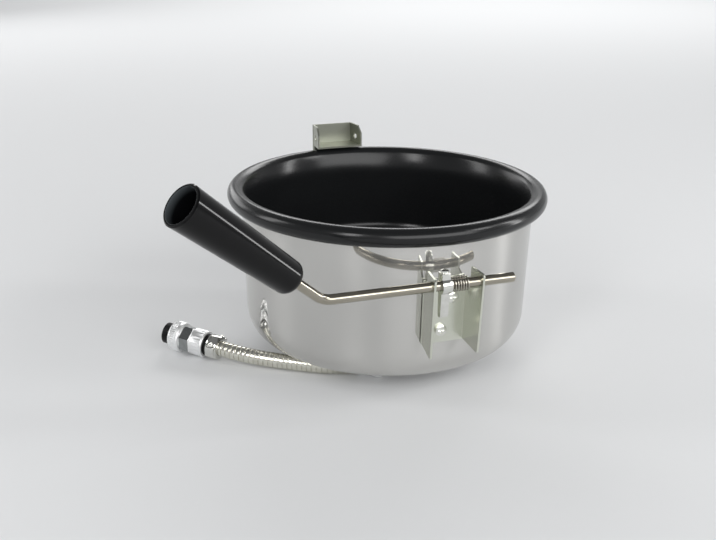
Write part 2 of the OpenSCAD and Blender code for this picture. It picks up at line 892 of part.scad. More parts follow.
// The hose's middle line: a smooth curve through the route's points, stepped by half a rib
function curve_point(p, t) =
    let (n = len(p) - 1, i = min(floor(t), n - 1), u = t - i)
    let (a = p[i], b = p[i + 1])
    let (da = i == 0 ? b - a : (b - p[i - 1]) / 2, db = i == n - 1 ? b - a : (p[i + 2] - a) / 2)
    (2 * a - 2 * b + da + db) * pow(u, 3) + (3 * b - 3 * a - 2 * da - db) * pow(u, 2) + da * u + a;
route_steps = 200;
route_fine = [
    for (k = [0:route_steps]) curve_point(hose_route, k * (len(hose_route) - 1) / route_steps)
];
function run_length(p, i = 0, s = 0) =
    i == len(p) - 1 ? [s] : concat([s], run_length(p, i + 1, s + norm(p[i + 1] - p[i])));
route_runs = run_length(route_fine);
hose_len = route_runs[route_steps];
function at_length(s, i = 0) =
    i >= route_steps - 1 || route_runs[i + 1] >= s
        ? let (u = (s - route_runs[i]) / (route_runs[i + 1] - route_runs[i]))
          route_fine[i] * (1 - u) + route_fine[i + 1] * u
        : at_length(s, i + 1);
rib_count = round(hose_len / rib_pitch);
hose_path = [for (k = [0:2 * rib_count]) at_length(hose_len * k / (2 * rib_count))];
hose_sides = 8;

module hose() {
    n = len(hose_path);
    outer = [for (i = [0:n - 1])
        each hose_ring(i, hose_r - (i % 2 == 1 || i == 0 || i == n - 1 ? 0 : rib_depth))];
    inner = [for (i = [0:n - 1]) each hose_ring(i, hose_bore / 2)];
    m = n * hose_sides;
    function at(i, k) = i * hose_sides + k % hose_sides;
    faces = concat(
        [for (i = [0:n - 2], k = [0:hose_sides - 1]) each [
            [at(i, k), at(i, k + 1), at(i + 1, k)],
            [at(i, k + 1), at(i + 1, k + 1), at(i + 1, k)],
            [m + at(i, k), m + at(i + 1, k), m + at(i, k + 1)],
            [m + at(i, k + 1), m + at(i + 1, k), m + at(i + 1, k + 1)]
        ]],
        [for (k = [0:hose_sides - 1]) each [
            [at(0, k), m + at(0, k), at(0, k + 1)],
            [at(0, k + 1), m + at(0, k), m + at(0, k + 1)],
            [at(n - 1, k), at(n - 1, k + 1), m + at(n - 1, k)],
            [at(n - 1, k + 1), m + at(n - 1, k + 1), m + at(n - 1, k)]
        ]]
    );
    color("gainsboro")
        polyhedron(concat(outer, inner), faces);
}

function hose_ring(i, r) = ring(hose_path, i, r, hose_sides, [0, 0, 1]);

module plug_clamp() {
    color(steel)
        on_plug()
            difference() {
                tube(clamp_d / 2, hose_r + fit_gap, 0.2, clamp_len);
                for (side = [-1, 1])
                    translate([0, side * (hose_r + 2), clamp_len / 2])
                        rotate([0, 90, 0])
                            cylinder(d = clamp_screw_d + 2 * fit_gap, h = clamp_d, center = true);
            }
}

module plug_clamp_screws() {
    color("silver")
        on_plug()
            for (side = [-1, 1])
                translate([-5, side * (hose_r + 2), clamp_len / 2])
                    rotate([0, 90, 0])
                        cylinder(d = clamp_screw_d, h = 10);
}

module plug_sleeve() {
    color(steel)
        on_plug()
            difference() {
                union() {
                    translate([0, 0, clamp_len])
                        cylinder(r = sleeve_d / 2 - 2.4, h = neck_len + eps);
                    translate([0, 0, sleeve_s])
                        cylinder(d = sleeve_d, h = sleeve_len);
                }
                translate([0, 0, clamp_len - eps])
                    cylinder(r = hose_r + fit_gap, h = neck_len + sleeve_len - 2);
                translate([0, 0, flats_s - 3])
                    cylinder(r = 4, h = 4);
            }
}

module plug_barrel() {
    color(steel)
        on_plug()
            difference() {
                union() {
                    intersection() {
                        translate([0, 0, flats_s])
                            cylinder(d = sleeve_d - 0.6, h = flats_len);
                        translate([-sleeve_d, -sleeve_d / 2 + 1.4, flats_s])
                            cube([2 * sleeve_d, sleeve_d - 2.8, flats_len]);
                    }
                    translate([0, 0, flats_s + flats_len - eps])
                        cylinder(r = barrel_r, h = barrel_end_s - flats_s - flats_len + eps);
                }
                translate([0, 0, flats_s + 3])
                    cylinder(r = insert_r + fit_gap, h = barrel_end_s);
            }
}

module coupling_nut() {
    color(steel)
        on_plug()
            difference() {
                tube(coupling_d / 2, barrel_r + run_gap, coupling_s, coupling_end_s);
                for (turn = [0:30:330])
                    rotate([0, 0, turn])
                        translate([coupling_d / 2 + 0.5, 0, coupling_s + 2])
                            cylinder(d = 2.4, h = coupling_len - 4);
            }
}

module plug_insert() {
    color(black)
        on_plug()
            difference() {
                translate([0, 0, flats_s + 3])
                    cylinder(r = insert_r, h = coupling_end_s + insert_out - flats_s - 3);
                for (turn = [0:90:270])
                    rotate([0, 0, turn])
                        translate([insert_r / 2, 0, coupling_end_s - 2])
                            cylinder(d = pin_d + 2 * fit_gap, h = insert_out + 3);
            }
}

module plug_pins() {
    color("goldenrod")
        on_plug()
            for (turn = [0:90:270])
                rotate([0, 0, turn])
                    translate([insert_r / 2, 0, coupling_end_s - 2])
                        cylinder(d = pin_d, h = insert_out + 1);
}

inner_pot();
outer_shell();
heater_ring();
heater_element();
clamp_plate();
centre_stud();
clamp_nut();
insulation_pad();
thermostat();
thermal_cutout();
terminal_block();
bottom_cover();
cover_nut();
cover_plug();
front_bracket();
front_bracket_screws();
handle_rod();
grip();
grip_nut();
latch_lever();
lever_screw();
return_spring();
rear_bracket();
rear_bracket_screws();
hose_elbow();
elbow_locknut();
hose();
plug_clamp();
plug_clamp_screws();
plug_sleeve();
plug_barrel();
coupling_nut();
plug_insert();
plug_pins();
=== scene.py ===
import math

import bmesh
import bpy
from mathutils import Matrix, Vector


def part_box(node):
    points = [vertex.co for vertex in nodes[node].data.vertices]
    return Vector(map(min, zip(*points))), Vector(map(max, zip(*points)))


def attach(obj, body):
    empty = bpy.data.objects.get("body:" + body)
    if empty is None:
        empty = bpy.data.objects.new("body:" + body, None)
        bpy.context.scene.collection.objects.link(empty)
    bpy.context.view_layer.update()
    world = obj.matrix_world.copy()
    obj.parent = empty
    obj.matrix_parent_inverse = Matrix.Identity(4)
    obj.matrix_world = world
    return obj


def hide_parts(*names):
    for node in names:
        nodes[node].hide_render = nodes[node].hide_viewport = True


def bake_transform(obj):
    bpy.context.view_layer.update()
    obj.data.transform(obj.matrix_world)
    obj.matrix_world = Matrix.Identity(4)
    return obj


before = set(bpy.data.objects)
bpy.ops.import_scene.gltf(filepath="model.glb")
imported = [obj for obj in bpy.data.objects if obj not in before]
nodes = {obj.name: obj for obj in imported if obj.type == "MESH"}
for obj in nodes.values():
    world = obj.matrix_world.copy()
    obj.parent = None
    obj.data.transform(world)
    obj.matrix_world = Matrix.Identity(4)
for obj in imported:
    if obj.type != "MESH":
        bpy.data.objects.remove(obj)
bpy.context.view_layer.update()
scene = bpy.context.scene
scene.view_settings.view_transform = "Standard"
mm = 0.001
mergeWithin = 1e-6  # metres
nearAxis = 0.001  # mm, the radius at which a solid's spun profile starts and ends
crispDegrees = 25  # corners past this stay crisp on flutes, knurls and flats
print("frame loaded:", len(nodes), "nodes")


# camera at the photograph's angle: the picture is 716 x 540
viewpoint = {
    "place": (-0.2923, -0.7228, 0.3486),
    "lookAt": (-0.02005, 0.0075, 0.0614),
    "rollDegrees": 0.79,
    "focalPixels": 1050,
    "pictureWidth": 716,
    "sensorWidth": 36,
    "clip": (0.01, 20),
}


def makeCamera(v):
    data = bpy.data.cameras.new("viewCamera")
    data.sensor_width = v["sensorWidth"]
    data.lens = v["sensorWidth"] * v["focalPixels"] / v["pictureWidth"]
    data.clip_start, data.clip_end = v["clip"]
    camera = bpy.data.objects.new("viewCamera", data)
    scene.collection.objects.link(camera)
    forward = (Vector(v["lookAt"]) - Vector(v["place"])).normalized()
    right = forward.cross(Vector((0, 0, 1))).normalized()
    up = right.cross(forward)
    turn = math.radians(v["rollDegrees"])
    sideways = right * math.cos(turn) + up * math.sin(turn)
    upward = up * math.cos(turn) - right * math.sin(turn)
    m = Matrix((sideways, upward, -forward)).transposed().to_4x4()
    m.translation = Vector(v["place"])
    camera.matrix_world = m
    scene.camera = camera


makeCamera(viewpoint)
print("camera made")


# a mesh becomes a piece on a body: corners past sharpDegrees stay crisp under smooth shading
def newPiece(name, bm, body, place=None, sharpDegrees=40):
    mesh = bpy.data.meshes.new(name)
    bmesh.ops.remove_doubles(bm, verts=bm.verts, dist=mergeWithin)
    bmesh.ops.recalc_face_normals(bm, faces=bm.faces)
    if place:
        bmesh.ops.transform(bm, matrix=place, verts=bm.verts)
    for e in bm.edges:
        e.smooth = len(e.link_faces) == 2 and e.calc_face_angle() < math.radians(sharpDegrees)
    for f in bm.faces:
        f.smooth = True
    bm.to_mesh(mesh)
    bm.free()
    piece = bpy.data.objects.new(name, mesh)
    scene.collection.objects.link(piece)
    if body:
        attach(piece, body)
    return piece


# a closed profile of (radius, height) in millimetres, spun about Z
def spinProfile(profile, steps):
    bm = bmesh.new()
    ring = [bm.verts.new((r * mm, 0, z * mm)) for r, z in profile]
    edges = [bm.edges.new(pair) for pair in zip(ring, ring[1:] + ring[:1])]
    bmesh.ops.spin(
        bm, geom=ring + edges, cent=(0, 0, 0), axis=(0, 0, 1), dvec=(0, 0, 0),
        angle=2 * math.pi, steps=steps, use_merge=True, use_duplicate=False,
    )
    bmesh.ops.remove_doubles(bm, verts=bm.verts, dist=mergeWithin)
    return bm


# one bmesh joins another
def addMesh(bm, other):
    mesh = bpy.data.meshes.new("joined")
    other.to_mesh(mesh)
    other.free()
    bm.from_mesh(mesh)
    bpy.data.meshes.remove(mesh)


# every second column between two heights moves inward: flutes and knurls
def flute(bm, steps, low, high, atLeast, depth):
    for v in bm.verts:
        r = math.hypot(v.co.x, v.co.y)
        column = round(math.atan2(v.co.y, v.co.x) / (2 * math.pi / steps))
        if column % 2 and low * mm < v.co.z < high * mm and r > atLeast * mm:
            v.co.x *= 1 - depth * mm / r
            v.co.y *= 1 - depth * mm / r


# a straight tube along Z bent to follow a line, its cross-section carried along without twist
def bendAlong(bm, line, side):
    runs, ahead, sides = [0.0], [], []
    for a, b in zip(line, line[1:]):
        runs.append(runs[-1] + (b - a).length)
    for i in range(len(line)):
        d = (line[min(i + 1, len(line) - 1)] - line[max(i - 1, 0)]).normalized()
        side = (side - d * side.dot(d)).normalized()
        ahead.append(d)
        sides.append(side)
    at = 0
    for v in sorted(bm.verts, key=lambda v: v.co.z):
        s = min(max(v.co.z, 0.0), runs[-1])
        while at < len(runs) - 2 and runs[at + 1] < s:
            at += 1
        u = (s - runs[at]) / (runs[at + 1] - runs[at])
        across = sides[at].lerp(sides[at + 1], u).normalized()
        along = ahead[at].lerp(ahead[at + 1], u).normalized()
        v.co = line[at].lerp(line[at + 1], u) + across * v.co.x + along.cross(across) * v.co.y


# points on an arc, from one angle in degrees to another
def arc(middle, radius, start, end, count):
    turns = [math.radians(start + (end - start) * k / count) for k in range(count + 1)]
    return [(middle[0] + radius * math.cos(a), middle[1] + radius * math.sin(a)) for a in turns]


# the ribbed hose, wound from steel strip: from inside the plug to the elbow under the shell
hoseSizes = {
    "route": [  # millimetres, the CAD's own points
        (-146, 21, 11.3), (-132, 7, 9.8), (-126, 1, 9.16), (-118, -6, 8.4), (-108, -13, 7.4),
        (-97, -19.8, 6.6), (-86, -26.8, 6.3), (-75, -33.8, 6.2), (-64, -40.5, 6.2), (-52, -45, 6.2),
        (-40, -49.5, 6.2),
    ],
    "radius": 6.0,
    "groove": 0.7,
    "bore": 4.2,
    "ribs": 34,
    "sides": 32,
    "stepsPerSpan": 24,
    # the strip over one rib: share of the rib's length, share of the groove's depth filled
    "strip": [
        (0.0, 0.0), (0.03, 0.6), (0.08, 0.93), (0.2, 1.0),
        (0.7, 1.0), (0.82, 0.93), (0.87, 0.6), (0.9, 0.0),
    ],
}


# a smooth curve through the route's points, as in the CAD
def routePoint(p, i, u):
    n = len(p) - 1
    a, b = p[i], p[i + 1]
    da = b - a if i == 0 else (b - p[i - 1]) / 2
    db = b - a if i == n - 1 else (p[i + 2] - a) / 2
    return (2 * a - 2 * b + da + db) * u ** 3 + (3 * b - 3 * a - 2 * da - db) * u ** 2 + da * u + a


def makeHose(h):
    points = [Vector(p) * mm for p in h["route"]]
    steps = h["stepsPerSpan"]
    line = [routePoint(points, i, k / steps) for i in range(len(points) - 1) for k in range(steps)]
    line.append(points[-1])
    length = sum((b - a).length for a, b in zip(line, line[1:]))
    rib = length / mm / h["ribs"]
    profile = [(h["bore"], 0)]
    for k in range(h["ribs"]):
        for along, filled in h["strip"]:
            profile.append((h["radius"] - h["groove"] * (1 - filled), (k + along) * rib))
    profile.append((h["radius"] - h["groove"], h["ribs"] * rib))
    profile += [(h["bore"], k * rib) for k in range(h["ribs"], 0, -1)]  # back along the bore
    bm = spinProfile(profile, h["sides"])
    bendAlong(bm, line, Vector((1, 1, 0)))
    hose = newPiece("ribbedHose", bm, "kettle", sharpDegrees=65)
    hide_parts("hose")
    print("hose length in mm:", round(length / mm, 1))
    return hose, line, length


ribbedHose, hoseLine, hoseLength = makeHose(hoseSizes)


# the plug's frame: +Z from the clamp's rear face to the plug's tip, where each piece has its span in mm
def plugFrame(h):
    start = Vector(h["route"][1]) * mm
    d = (Vector(h["route"][0]) - Vector(h["route"][1])).normalized()
    heading = math.atan2(d.y, d.x)
    rise = math.asin(d.z)
    turn = Matrix.Rotation(heading, 4, "Z") @ Matrix.Rotation(math.pi / 2 - rise, 4, "Y")
    return Matrix.Translation(start) @ turn


onPlug = plugFrame(hoseSizes)

# coupling nut: two plain lips with a knurled band between them
nutSizes = {"span": (33.7, 43.2), "radius": 11.8, "bore": 9.06, "knurls": 84, "knurlDepth": 0.35}


def makeNut(s):
    (low, high), r, bore = s["span"], s["radius"], s["bore"]
    bm = spinProfile([
        (bore, low), (r - 1.1, low), (r - 0.4, low + 0.4), (r, low + 1.0), (r, low + 2.6),  # rear lip
        (r - 0.5, low + 2.9), (r - 0.5, low + 3.1),  # groove
        (r - 0.2, low + 3.3), (r - 0.2, high - 1.9),  # band
        (r - 0.5, high - 1.7), (r - 0.5, high - 1.5),  # groove
        (r - 0.1, high - 1.3), (r - 0.3, high - 1.0), (r - 1.5, high), (bore, high),  # front lip
    ], s["knurls"])
    flute(bm, s["knurls"], low + 3.2, high - 1.8, r - 1, s["knurlDepth"])
    nut = newPiece("knurledNut", bm, "coupling", onPlug, sharpDegrees=crispDegrees)
    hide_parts("coupling_nut")
    return nut


# rear sleeve with shallow lengthwise flutes, and the neck behind it
sleeveSizes = {
    "span": (12.9, 24.4), "radius": 10.4, "bore": 6.1, "flutes": 52, "fluteDepth": 0.4,
    "neckFrom": 9.5, "neckRadius": 8.0, "wireHole": 4.0, "endWall": 2,
}


def makeSleeve(s):
    (low, high), r, bore = s["span"], s["radius"], s["bore"]
    start, neck, hole, wall = s["neckFrom"], s["neckRadius"], s["wireHole"], high - s["endWall"]
    bm = spinProfile([
        (bore, start), (neck, start), (neck, low - 0.4), (neck + 0.4, low), (r - 0.9, low),
        (r - 0.2, low + 0.5), (r, low + 1.1), (r, low + 1.5), (r, high - 1.5), (r, high - 1.0),
        (r - 0.15, high - 0.4), (r - 0.6, high), (hole, high), (hole, wall), (bore, wall),
    ], s["flutes"])
    flute(bm, s["flutes"], low + 1.2, high - 1.2, r - 0.5, s["fluteDepth"])
    for f in bm.faces:  # the neck's faces take the second, black finish
        f.material_index = int(f.calc_center_median().z < (low - 0.1) * mm)
    sleeve = newPiece("flutedSleeve", bm, "kettle", onPlug, sharpDegrees=crispDegrees)
    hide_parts("plug_sleeve")
    return sleeve


# barrel: a six-sided collar for the wrench, and the round tube that carries the nut
barrelSizes = {
    "span": (24.4, 33.4), "corner": 10.7, "flats": 6, "turnDegrees": -8, "edge": 0.5, "endWall": 3,
    "leadHole": 0.5, "bore": 8.3, "tubeRadius": 9.0, "tubeEnd": 42.2, "tubeSides": 72,
}


def makeBarrel(s):
    (low, high), r, edge = s["span"], s["corner"], s["edge"]
    bore, hole, wall = s["bore"] / math.cos(math.pi / s["flats"]), s["leadHole"], low + s["endWall"]
    bm = spinProfile([
        (bore, wall), (hole, wall), (hole, low), (r - edge, low), (r, low + edge),
        (r, high - edge), (r - edge, high), (bore, high),
    ], s["flats"])
    for f in bm.faces:  # the flats take the darker finish, a painted dark reflection; the rest is plated
        c = f.calc_center_median()
        f.material_index = int(c.xy.length > 0.85 * r * mm and (low + 1) * mm < c.z < (high - 1) * mm)
    turn = Matrix.Rotation(math.radians(s["turnDegrees"]), 4, "Z")
    bmesh.ops.transform(bm, matrix=turn, verts=bm.verts)
    addMesh(bm, spinProfile([
        (s["bore"], high - 1), (s["tubeRadius"], high - 1),
        (s["tubeRadius"], s["tubeEnd"]), (s["bore"], s["tubeEnd"]),
    ], s["tubeSides"]))
    barrel = newPiece("flattedBarrel", bm, "kettle", onPlug, sharpDegrees=crispDegrees)
    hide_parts("plug_barrel")
    return barrel


# cord clamp: a grooved ring with two rounded lugs
clampSizes = {
    "span": (0.2, 9.5), "radius": 9.5, "bore": 6.1, "sides": 64,
    "lugAt": (0, 8.5, 4.85), "lugSize": (8.6, 4.8, 7.2), "lugRound": 0.9,
}


def makeClamp(s):
    (low, high), r, bore = s["span"], s["radius"], s["bore"]
    bm = spinProfile([
        (bore, low), (r - 1.6, low), (r - 0.6, low + 0.5), (r - 0.2, low + 1.5), (r - 0.2, high - 2.2),
        (r - 0.9, high - 1.8), (r - 0.9, high - 1.2), (r - 0.2, high - 0.9), (r - 0.4, high),
        (bore, high),
    ], s["sides"])
    x, y, z = s["lugAt"]
    size = Matrix.Diagonal([side * mm for side in s["lugSize"]] + [1])
    for side in (-1, 1):
        place = Matrix.Translation(Vector((x, side * y, z)) * mm)
        lug = bmesh.ops.create_cube(bm, size=1, matrix=place @ size)
        bmesh.ops.bevel(
            bm, geom=list({e for v in lug["verts"] for e in v.link_edges}), offset=s["lugRound"] * mm,
            offset_type="OFFSET", affect="EDGES", segments=3, profile=0.5, material=-1,
        )
    clamp = newPiece("cordClamp", bm, "kettle", onPlug)
    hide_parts("plug_clamp")
    return clamp


# clamp screws: one through each lug, with a slotted head
screwSizes = {
    "at": (-4.32, 8.0, 4.85), "head": (2.3, 1.7), "shank": (1.5, 9.2), "sides": 32,  # radius, length
    "slotHalf": 0.35, "slotDepth": 0.6, "slotInset": 0.01,
}


def makeClampScrews(s):
    (head, tall), (shank, length), half = s["head"], s["shank"], s["slotHalf"]
    x, y, z = s["at"]
    bm = bmesh.new()
    for side in (-1, 1):
        one = spinProfile([
            (nearAxis, -length), (shank, -length), (shank, 0), (head, 0),
            (head, tall - 0.5), (head - 0.3, tall - 0.1), (head - 0.7, tall), (nearAxis, tall),
        ], s["sides"])
        for cut in (half, -half):  # two cuts mark off the slot, which is then sunk
            whole = one.verts[:] + one.edges[:] + one.faces[:]
            bmesh.ops.bisect_plane(one, geom=whole, plane_co=(cut * mm, 0, 0), plane_no=(1, 0, 0))
        middles = [(f, f.calc_center_median() / mm) for f in one.faces]
        slot = [f for f, c in middles if c.z > tall - 0.3 and abs(c.x) < half - 0.01]
        bmesh.ops.inset_region(one, faces=slot, thickness=s["slotInset"] * mm, depth=-s["slotDepth"] * mm)
        place = Matrix.Translation(Vector((x, side * y, z)) * mm)
        bmesh.ops.transform(one, matrix=place @ Matrix.Rotation(-math.pi / 2, 4, "Y"), verts=one.verts)
        addMesh(bm, one)
    screws = newPiece("clampScrews", bm, "kettle", onPlug)
    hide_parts("plug_clamp_screws")
    return screws


knurledNut = makeNut(nutSizes)
flutedSleeve = makeSleeve(sleeveSizes)
flattedBarrel = makeBarrel(barrelSizes)
cordClamp = makeClamp(clampSizes)
clampScrews = makeClampScrews(screwSizes)


# the pot: pressed from one sheet, its wall flaring softly into the rolled rim
potSizes = {
    "rimRadius": 122, "bead": 6.75, "sheet": 1.5, "curlEnd": -110, "depth": 73, "lowRadius": 105,
    "cornerRadius": 9.5, "flareRadius": 45, "flareLean": 24, "rollFrom": 176,
    "sides": 180, "cornerSteps": 8, "flareSteps": 12, "rollSteps": 40, "curlSteps": 30,
}


def makePot(p):
    bead, sheet, lean = p["bead"], p["sheet"], math.radians(p["flareLean"])
    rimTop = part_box("inner_pot")[1][2] / mm
    floor = rimTop - p["depth"]
    corner = p["cornerRadius"]
    cornerAt = (p["lowRadius"] - corner, floor + corner)
    roll = (p["rimRadius"] - bead, rimTop - bead)
    spare = p["flareRadius"] - bead  # the flare meets the roll smoothly
    flare = (roll[0] + spare * math.cos(lean), roll[1] - spare * math.sin(lean))
    profile = [(nearAxis, floor)] + arc(cornerAt, corner, -90, 0, p["cornerSteps"])
    profile += arc(flare, p["flareRadius"], 180, 180 - p["flareLean"], p["flareSteps"])
    profile += arc(roll, bead, p["rollFrom"] - p["flareLean"], p["curlEnd"], p["rollSteps"])
    profile += arc(roll, bead - sheet, p["curlEnd"], 180, p["curlSteps"])  # back along the underside
    profile += arc(cornerAt, corner + sheet, 0, -90, p["cornerSteps"]) + [(nearAxis, floor - sheet)]
    pot = newPiece("flaredPot", spinProfile(profile, p["sides"]), "kettle")
    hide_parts("inner_pot")
    return pot


flaredPot = makePot(potSizes)
print("pot pressed")


# the return spring: wound on the rod beside the lever, one leg in the lever and one on the plate
springSizes = {
    "axis": (0, -128.667, 96.8885),  # the rod's axis, along X
    "wire": 0.95, "sides": 10, "coilRadius": 4.7, "pitch": 1.87, "coilFrom": -4.65,
    "turns": 6, "coilStart": 186, "coilEnd": 180, "stepsPerTurn": 28,
    "leverFace": -5.0, "legTurn": 155, "legInLever": (1.9, 0.6), "legOut": 0.2, "bendSteps": 8,
    "plateLeg": (1.5, 4, 8, 12, 15.8),
}


def makeSpring(s):
    def coil(turn):
        a = math.radians(turn)
        x = s["coilFrom"] + turn / 360 * s["pitch"]
        return Vector((x, -s["coilRadius"] * math.sin(a), s["coilRadius"] * math.cos(a)))

    start, last = s["coilStart"], s["coilEnd"] + 360 * s["turns"]
    hole = coil(s["legTurn"])
    legEnd = Vector((s["leverFace"] + s["legOut"], hole.y, hole.z))
    line = [Vector((s["leverFace"] - into, hole.y, hole.z)) for into in s["legInLever"]]
    for k in range(s["bendSteps"] + 1):  # the leg bends round into the coil
        u = k / s["bendSteps"]
        line.append(legEnd * (1 - u) ** 2 + hole * 2 * u * (1 - u) + coil(start) * u ** 2)
    count = round((last - start) / 360 * s["stepsPerTurn"])
    line += [coil(start + (last - start) * k / count) for k in range(1, count + 1)]
    tip = line[-1]
    line += [Vector((tip.x, y, tip.z)) for y in s["plateLeg"]]
    line = [(p + Vector(s["axis"])) * mm for p in line]
    bm = bmesh.new()
    bmesh.ops.create_circle(bm, cap_ends=True, segments=s["sides"], radius=s["wire"] / 2 * mm)
    face = bm.faces[:]
    inside = []
    for a, b in zip(line, line[1:]):  # one extrusion for each stretch of the line
        made = bmesh.ops.extrude_face_region(bm, geom=face)["geom"]
        face = [g for g in made if isinstance(g, bmesh.types.BMFace)]
        rim = [g for g in made if isinstance(g, bmesh.types.BMVert)]
        bmesh.ops.translate(bm, vec=(0, 0, (b - a).length), verts=rim)
        inside += face
    inside.pop()  # the last one closes the wire's end
    bmesh.ops.delete(bm, geom=[f for f in inside if f.is_valid], context="FACES_ONLY")
    bendAlong(bm, line, Vector((0, 1, 0)))
    spring = newPiece("returnSpring", bm, None)
    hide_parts("return_spring")
    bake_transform(spring)  # baked where it stands, on no body
    return spring


returnSpring = makeSpring(springSizes)
print("return spring wound")


# sheet edges and small parts lose their knife edges: the CAD triangles are welded, then bevelled
edgeSizes = {  # node: bevel width in mm, segments
    "front_bracket": (0.35, 3), "rear_bracket": (0.35, 3), "latch_lever": (0.5, 3),
    "front_bracket_screws": (0.25, 2), "lever_screw": (0.2, 2), "plug_insert": (0.5, 3),
}
edgeRule = {"weldMm": 0.002, "cornerDegrees": 35}


def softenEdges(piece, width, segments):
    weld = piece.modifiers.new("weldTriangles", "WELD")
    weld.merge_threshold = edgeRule["weldMm"] * mm
    bevel = piece.modifiers.new("softEdge", "BEVEL")
    bevel.width = width * mm
    bevel.segments = segments
    bevel.limit_method = "ANGLE"
    bevel.angle_limit = math.radians(edgeRule["cornerDegrees"])


for n, (width, segments) in edgeSizes.items():
    softenEdges(nodes[n], width, segments)
print("edges softened:", len(edgeSizes))


def toLinear(hexColour):
    parts = [int(hexColour[i:i + 2], 16) / 255 for i in (1, 3, 5)]
    return [c / 12.92 if c <= 0.04045 else ((c + 0.055) / 1.055) ** 2.4 for c in parts] + [1]


# one node: its kind, settings, values for sockets by name or number, and links from other nodes
# a colour mix has its colours in sockets 6 and 7, and its result in output 2
def addNode(tree, kind, settings=None, values=None, links=None):
    node = tree.nodes.new(kind)
    for key, value in (settings or {}).items():
        setattr(node, key, value)
    for key, value in (values or {}).items():
        node.inputs[key].default_value = value
    for key, source in (links or {}).items():
        tree.links.new(source, node.inputs[key])
    return node


finishes = {}


def newMaterial(name):
    material = bpy.data.materials.new(name)
    material.use_nodes = True
    material.node_tree.nodes.clear()
    finishes[name] = material
    return material.node_tree


# a finish: two hex colours and two roughness values mixed by a pattern of a size in mm, and a bump of
# (strength, grain in mm)
def makeFinish(name, colours, roughness, patternMm, stretch=(1, 1, 1), metallic=0.0, bump=None,
               specular=0.5, contrast=(0.35, 0.65)):
    tree = newMaterial(name)
    place = addNode(tree, "ShaderNodeTexCoord")
    mapped = addNode(tree, "ShaderNodeMapping",
                     values={"Scale": [1 / (patternMm * mm * s) for s in stretch]},
                     links={"Vector": place.outputs["Object"]})
    pattern = addNode(tree, "ShaderNodeTexNoise", values={"Scale": 1.0, "Detail": 4.0, "Roughness": 0.6},
                      links={"Vector": mapped.outputs["Vector"]})
    share = addNode(tree, "ShaderNodeMapRange",
                    values={"From Min": contrast[0], "From Max": contrast[1]},
                    links={"Value": pattern.outputs["Fac"]})
    tint = addNode(tree, "ShaderNodeMix", {"data_type": "RGBA"},
                   {6: toLinear(colours[0]), 7: toLinear(colours[1])}, {0: share.outputs["Result"]})
    gloss = addNode(tree, "ShaderNodeMapRange",
                    values={"To Min": roughness[0], "To Max": roughness[1]},
                    links={"Value": share.outputs["Result"]})
    shader = addNode(tree, "ShaderNodeBsdfPrincipled",
                     values={"Metallic": metallic, "Specular IOR Level": specular},
                     links={"Base Color": tint.outputs[2], "Roughness": gloss.outputs["Result"]})
    if bump:
        strength, grainMm = bump
        fine = addNode(tree, "ShaderNodeMapping",
                       values={"Scale": [1 / (grainMm * mm * s) for s in stretch]},
                       links={"Vector": place.outputs["Object"]})
        grain = addNode(tree, "ShaderNodeTexNoise", values={"Scale": 1.0, "Detail": 3.0},
                        links={"Vector": fine.outputs["Vector"]})
        relief = addNode(tree, "ShaderNodeBump", values={"Strength": strength, "Distance": 0.2 * mm},
                         links={"Height": grain.outputs["Fac"]})
        tree.links.new(relief.outputs["Normal"], shader.inputs["Normal"])
    addNode(tree, "ShaderNodeOutputMaterial", links={"Surface": shader.outputs["BSDF"]})


# the shell: a sharp mirror, with a share of its light smeared up and down by fine polishing rings
mirrorSizes = {
    "colour": "#CAC9C6", "sharp": (0.05, 0.07), "smear": 0.42, "share": (0.2, 0.26),
    "patternScale": (9, 9, 4),  # per metre: patches of about 110 mm, 250 mm upwards
    "pull": 0.95, "pullTurn": 0.25,
}


def makeSpunMirror(name, m):
    tree = newMaterial(name)
    place = addNode(tree, "ShaderNodeTexCoord")
    mapped = addNode(tree, "ShaderNodeMapping", values={"Scale": m["patternScale"]},
                     links={"Vector": place.outputs["Object"]})
    rings = addNode(tree, "ShaderNodeTexNoise", values={"Scale": 1.0, "Detail": 5.0},
                    links={"Vector": mapped.outputs["Vector"]})
    around = addNode(tree, "ShaderNodeTangent", {"direction_type": "RADIAL", "axis": "Z"})
    gloss = addNode(tree, "ShaderNodeMapRange", values={"To Min": m["sharp"][0], "To Max": m["sharp"][1]},
                    links={"Value": rings.outputs["Fac"]})
    part = addNode(tree, "ShaderNodeMapRange", values={"To Min": m["share"][0], "To Max": m["share"][1]},
                   links={"Value": rings.outputs["Fac"]})
    mirror = addNode(tree, "ShaderNodeBsdfPrincipled",
                     values={"Base Color": toLinear(m["colour"]), "Metallic": 1.0},
                     links={"Roughness": gloss.outputs["Result"]})
    brushed = addNode(tree, "ShaderNodeBsdfPrincipled",
                      values={"Base Color": toLinear(m["colour"]), "Metallic": 1.0, "Roughness": m["smear"],
                              "Anisotropic": m["pull"], "Anisotropic Rotation": m["pullTurn"]},
                      links={"Tangent": around.outputs["Tangent"]})
    both = addNode(tree, "ShaderNodeMixShader",
                   links={0: part.outputs["Result"], 1: mirror.outputs["BSDF"], 2: brushed.outputs["BSDF"]})
    addNode(tree, "ShaderNodeOutputMaterial", links={"Surface": both.outputs["Shader"]})


# the grip: its outside and its hollow, told apart by the distance from its axis
gripSizes = {
    "corner": (-94.6, -128.667, 96.8885),  # the rod's bend
    "along": (-0.7314, -0.2555, 0.6323),  # from the bend to the grip's mouth
    "hollow": 11.9, "margin": 0.35, "plainTo": 80, "mouth": 129.5, "fade": 6,
    # inner: painted light on the hollow's wall at the mouth, and the hollow's roughness; deep: black further
    # in
    "outer": ("#060607", 0.09), "inner": ("#4E5356", 0.4), "deep": "#08080A", "specular": 0.24,
}


